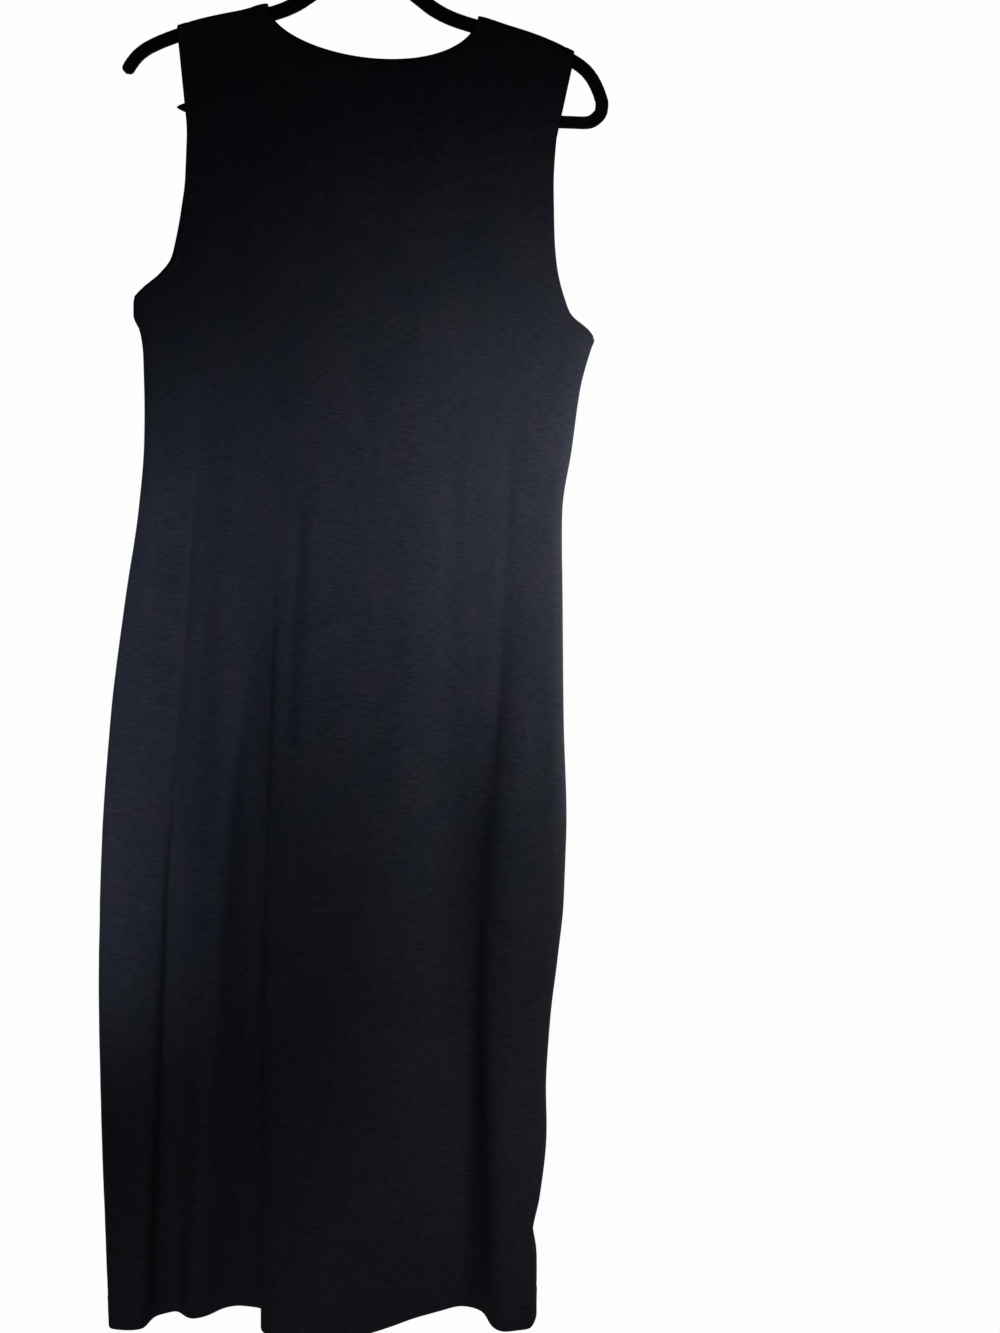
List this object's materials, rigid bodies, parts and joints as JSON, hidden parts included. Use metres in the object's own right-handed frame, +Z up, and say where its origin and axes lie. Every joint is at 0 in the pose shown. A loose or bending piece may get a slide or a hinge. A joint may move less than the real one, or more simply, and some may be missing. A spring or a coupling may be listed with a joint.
{
  "type": "sleeveless bodycon midi dress on a slim hanger",
  "caption": "Plain black sleeveless jersey midi dress, hanging in soft folds from a slim flocked hanger with a metal hook.",
  "frame": {"origin": "inside top of the hanger's hook, where a rail holds it", "axes": "+Z up, +X to the right of the side shown in the picture, -Y out of that side (the dress's back)"},
  "size_m": [0.4398, 0.0962, 1.3067],
  "materials": {
    "jersey": "matte fine jersey knit, very slightly blue black",
    "band": "the same jersey, folded double",
    "flock": "black flocked plastic",
    "hook_steel": "bright plated wire"
  },
  "bodies": {
    "root": {"back_panel": "jersey", "front_panel": "jersey", "neckband": "band", "hanger_frame": "flock", "hanger_hook": "hook_steel"}
  },
  "joints": []
}
